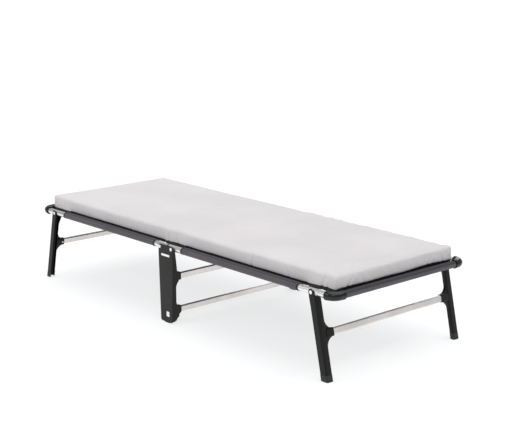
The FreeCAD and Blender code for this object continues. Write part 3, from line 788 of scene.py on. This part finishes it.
def build_stitching(side, sign):
    """Two rows beside each side sleeve, and two over and one under the end hem."""
    parts = []
    first, last = sleeve_low.x + SIDE_STITCH_MARGIN, sleeve_high.x - SIDE_STITCH_MARGIN
    end_x = end_rail_x - END_HEM_REACH
    for row in (0.0, STITCH_ROW_GAP):
        y = rail_y - HEM_REACH + row
        z = deck_height(SIDE_HEM_X, y)
        for facing in ENDS.values():
            parts += stitch_row((sign * first, facing * y, z), (sign * last, facing * y, z), (0, 0, 1))
        parts += end_stitches(sign, end_x + row, 0.0, (0, 0, 1))
    parts += end_stitches(sign, end_x, 2.4 * CLOTH_THICKNESS, (0, 0, -1))
    mesh = joined_mesh(f"{side}_deck_stitching", parts)
    set_uv(mesh, [(v.co.x, v.co.y) for v in mesh.vertices])
    thread = add_object(f"{side}_deck_stitching", mesh, MATERIALS["thread"])
    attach(thread, f"{side}_half")
    return thread


def declare_cloth(side, sleeves):
    outline = deck_outline()
    area = sum((b[0] - a[0]) * (a[1] + b[1]) for a, b in zip(outline, outline[1:]))
    rails = (f"{side}_side_rail_front", f"{side}_side_rail_back", f"{side}_end_rail")
    for sleeve, rail, reach in zip(sleeves, rails, (HEM_REACH, HEM_REACH, END_HEM_REACH)):
        around = float(running_length(hem_profile(reach, sleeve_radius))[-1])


# ---- Closing strap ----

def build_strap():
    """Ribbed webbing round the outside of the left end rail, with a hanging tail."""
    low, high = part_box("left_closing_strap")
    half = (high.y - low.y) / 2
    radius = sleeve_radius + STRAP_THICKNESS / 2
    tail_end = low.z + STRAP_TAIL_GAP
    angles = np.linspace(math.radians(90), math.radians(270 + STRAP_LEAVE_ANGLE), 40)
    path = [(-end_rail_x + radius * math.cos(a), rail_height + radius * math.sin(a)) for a in angles]
    last = path[-1]
    path += [(last[0] + STRAP_TAIL_WAVE * math.sin(6 * t), last[1] + (tail_end - last[1]) * t)
             for t in np.linspace(0.08, 1.0, 16)]
    path = np.array(path)
    columns = np.linspace(-1, 1, 25)
    rings = []
    for (x, z), (tx, tz) in zip(path, unit_tangents(path)):
        outer, inner = [], []
        for c in columns:
            rib = STRAP_RIB_DEPTH * math.cos(c * STRAP_RIB_RATE)
            swell = STRAP_THICKNESS / 2 * (1 - 0.35 * abs(c) ** 6) + rib
            outer.append((x + tz * swell, c * half, z - tx * swell))
            inner.append((x - tz * swell, c * half, z + tx * swell))
        rings.append(outer + list(reversed(inner)))
    points, faces = closed_sweep(rings)
    run = running_length(path)
    mesh = mesh_from("closing_strap", points, faces)
    set_uv(mesh, [(run[i // (2 * len(columns))], point[1]) for i, point in enumerate(points)])
    strap = add_object("closing_strap", mesh, MATERIALS["webbing"])
    recalculate_normals(strap)
    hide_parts("left_closing_strap")
    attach(strap, "left_half")


# ---- Mattress ----

def rounded_block(low, high):
    """A slab with round upright corners and a softly rounded top edge."""
    block = bmesh.new()
    bmesh.ops.create_cube(block, size=1.0)
    centre, size = (low + high) / 2, high - low
    for vertex in block.verts:
        vertex.co = Vector(c + s * v for c, s, v in zip(centre, size, vertex.co))
    upright = [edge for edge in block.edges if abs((edge.verts[0].co - edge.verts[1].co).z) > 0.01]
    bmesh.ops.bevel(
        block, geom=upright, offset=MATTRESS_CORNER_ROUND, segments=8, affect="EDGES", profile=0.5)
    top_rim = [edge for edge in block.edges
               if all(abs(vertex.co.z - high.z) < 1e-5 for vertex in edge.verts)
               and any(abs(face.normal.z) < 0.1 for face in edge.link_faces)]
    bmesh.ops.bevel(
        block, geom=top_rim, offset=MATTRESS_EDGE_ROUND, segments=4, affect="EDGES", profile=0.5)
    mesh = bpy.data.meshes.new("mattress_cover")
    block.to_mesh(mesh)
    block.free()
    return mesh


def inflate(obj, frames, pressure):
    """Swells the cover like a filled case, with no gravity, and keeps the result."""
    cloth = obj.modifiers.new("cover", "CLOTH").settings
    cloth.quality = 5
    cloth.mass = 0.25
    cloth.tension_stiffness = 18
    cloth.compression_stiffness = 18
    cloth.shear_stiffness = 8
    cloth.bending_stiffness = 1.5
    cloth.use_pressure = True
    cloth.uniform_pressure_force = pressure
    cloth.effector_weights.gravity = 0
    scene = bpy.context.scene
    for number in range(1, frames + 1):
        scene.frame_set(number)
    baked(obj)
    scene.frame_set(1)


def mattress_creases(points, low, high):
    """How far each point is pushed in or out by ripples on the top and puckers on the sides."""
    top = smoothstep(points[:, 2], high.z - 0.016, high.z - 0.002)
    shift = np.zeros(len(points))
    for i, (x, y, z) in enumerate(points):
        patch = noise.noise(Vector((x * 2.1, y * 2.6, 3.7)))
        wander = 0.05 * noise.noise(Vector((x * 3.0, y * 4.0, 9.1)))
        ridge = noise.noise(Vector(((x + wander) * RIPPLE_RATE, y * 3.2, 1.3)))
        broad = noise.noise(Vector((x * 4.0, y * 5.0, 6.1)))
        fine = noise.noise(Vector((x * 62.0, y * 9.0, 4.4)))
        amount = max(0.12, 0.42 + patch + 0.30 * x)
        sharp = ridge - 1.4 * max(0.0, 0.18 - abs(ridge))
        ripples = RIPPLE_DEPTH * sharp * amount + BROAD_DEPTH * broad + FINE_DEPTH * fine * amount
        soft = noise.noise(Vector((x * 9.0, y * 9.0, z * 20.0)))
        shift[i] = top[i] * ripples + (1 - top[i]) * SIDE_SOFTNESS * soft
    return shift + side_puckers(points, low, high)


def side_puckers(points, low, high):
    """How far each point on the mattress's sides is pushed in or out by the puckers."""
    on_side = {
        "front": points[:, 1] < low.y + SIDE_BAND,
        "right": points[:, 0] > high.x - SIDE_BAND,
        "back": points[:, 1] > high.y - SIDE_BAND,
        "left": points[:, 0] < low.x + SIDE_BAND,
    }
    fade = smoothstep(high.z - 0.004 - points[:, 2], 0.0, 0.030)
    shift = np.zeros(len(points))
    for side, puckers in PUCKERS.items():
        run = points[:, 0] if side in ENDS else points[:, 1]
        for place, depth, lean in puckers:
            line = run - place - lean * (points[:, 2] - low.z)
            ridges = np.exp(-((np.abs(line) - PUCKER_RIDGE_PLACE) / PUCKER_RIDGE_WIDTH) ** 2)
            shape = 0.7 * ridges - np.exp(-(line / PUCKER_WIDTH) ** 2)
            shift += depth * shape * fade * on_side[side]
    return shift


def swollen_cover(low, high):
    """A rounded block, swollen by cloth simulation up to MATTRESS_PUFF."""
    inset = Vector((1, 1, 1)) * MATTRESS_START_INSET
    floor = Vector((0, 0, MATTRESS_FLOOR_GAP - MATTRESS_START_INSET))
    block = rounded_block(low + inset + floor, high - inset)
    cover = add_object("mattress_cover", block, MATERIALS["mattress_knit"])
    remesh = cover.modifiers.new("even", "REMESH")
    remesh.mode = "VOXEL"
    remesh.voxel_size = MATTRESS_VOXEL
    baked(cover)
    start = vertex_array(cover.data)
    inflate(cover, CLOTH_FRAMES, CLOTH_PRESSURE)
    moved = vertex_array(cover.data) - start
    moved[:, 2] *= smoothstep(start[:, 2], low.z + 0.004, low.z + 0.02)
    reach = np.linalg.norm(moved, axis=1)
    points = start + moved * np.minimum(1.0, MATTRESS_PUFF / np.maximum(reach, 1e-9))[:, None]
    set_vertices(cover.data, points)
    cover.modifiers.new("finer", "SUBSURF").levels = 1
    return baked(cover)


def build_mattress():
    """The swollen cover, with its creases, base cloth and seam added after the simulation."""
    low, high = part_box("mattress")
    cover = swollen_cover(low, high)
    base_edge = low.z + BASE_CLOTH_HEIGHT
    split_base(cover, base_edge)
    points = vertex_array(cover.data)
    normals = np.zeros(len(points) * 3)
    cover.data.vertices.foreach_get("normal", normals)
    normals = normals.reshape(-1, 3)
    shift = mattress_creases(points, low, high)
    off_base = smoothstep(points[:, 2], low.z + 0.001, low.z + 0.006)
    seam = np.exp(-((points[:, 2] - base_edge) / 0.0016) ** 2)
    points += normals * ((shift - SEAM_DEPTH * seam) * off_base)[:, None]
    wave = np.array([noise.noise(Vector((x * 14, y * 14, 2.2))) for x, y, z in points])
    points[:, 2] += BASE_WAVE * wave * np.exp(-((points[:, 2] - base_edge) / 0.004) ** 2)
    points[:, 2] += cover_lift(points, base_edge) - base_droop(points, base_edge)
    set_vertices(cover.data, points)
    shade_smooth(cover.data)
    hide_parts("mattress")
    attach(cover, "mattress_body")


def split_base(cover, height):
    """Cuts the mesh level at a height and gives everything below it the base cloth."""
    cutter = bmesh.new()
    cutter.from_mesh(cover.data)
    bmesh.ops.bisect_plane(cutter, geom=cutter.verts[:] + cutter.edges[:] + cutter.faces[:],
                           plane_co=(0, 0, height), plane_no=(0, 0, 1), dist=1e-5)
    for face in cutter.faces:
        face.material_index = 1 if face.calc_center_median().z < height else 0
    cutter.to_mesh(cover.data)
    cutter.free()
    cover.data.materials.append(MATERIALS["base_cloth"])


def cover_lift(points, base_edge):
    """How far the knitted cover's lower edge is drawn up at a few places, so more of the base cloth shows."""
    lift = np.zeros(len(points))
    for x, y, height, reach in COVER_LIFTS:
        away = np.hypot(points[:, 0] - x, points[:, 1] - y)
        lift += height * np.exp(-((away / reach) ** 2))
    return lift * np.exp(-(((points[:, 2] - base_edge) / LIFT_BAND) ** 2))


def base_droop(points, base_edge):
    """How far the base hangs where no deck is under it, at the corners and beside the hinge."""
    x, y, z = np.abs(points[:, 0]), np.abs(points[:, 1]), points[:, 2]
    past_sleeve = smoothstep(x, sleeve_high.x + 0.003, sleeve_high.x + DROOP_START)
    before_sleeve = smoothstep(sleeve_low.x - DROOP_START - x, 0.0, DROOP_START)
    corner = past_sleeve * smoothstep(y, *CORNER_DROOP_Y)
    hinge = before_sleeve * smoothstep(y, *HINGE_DROOP_Y)
    return BASE_DROOP * np.maximum(corner, hinge) * smoothstep(base_edge - z, -0.002, 0.006)


# ---- Put together ----

add_camera()
add_floor()
add_light()
finish_cad_nodes()
for side, sign in SIDES.items():
    deck = build_deck(side, sign)
    sleeves = build_sleeves(side, sign)
    binding = build_binding(side, sign)
    thread = build_stitching(side, sign)
    declare_cloth(side, sleeves)
build_strap()
build_mattress()
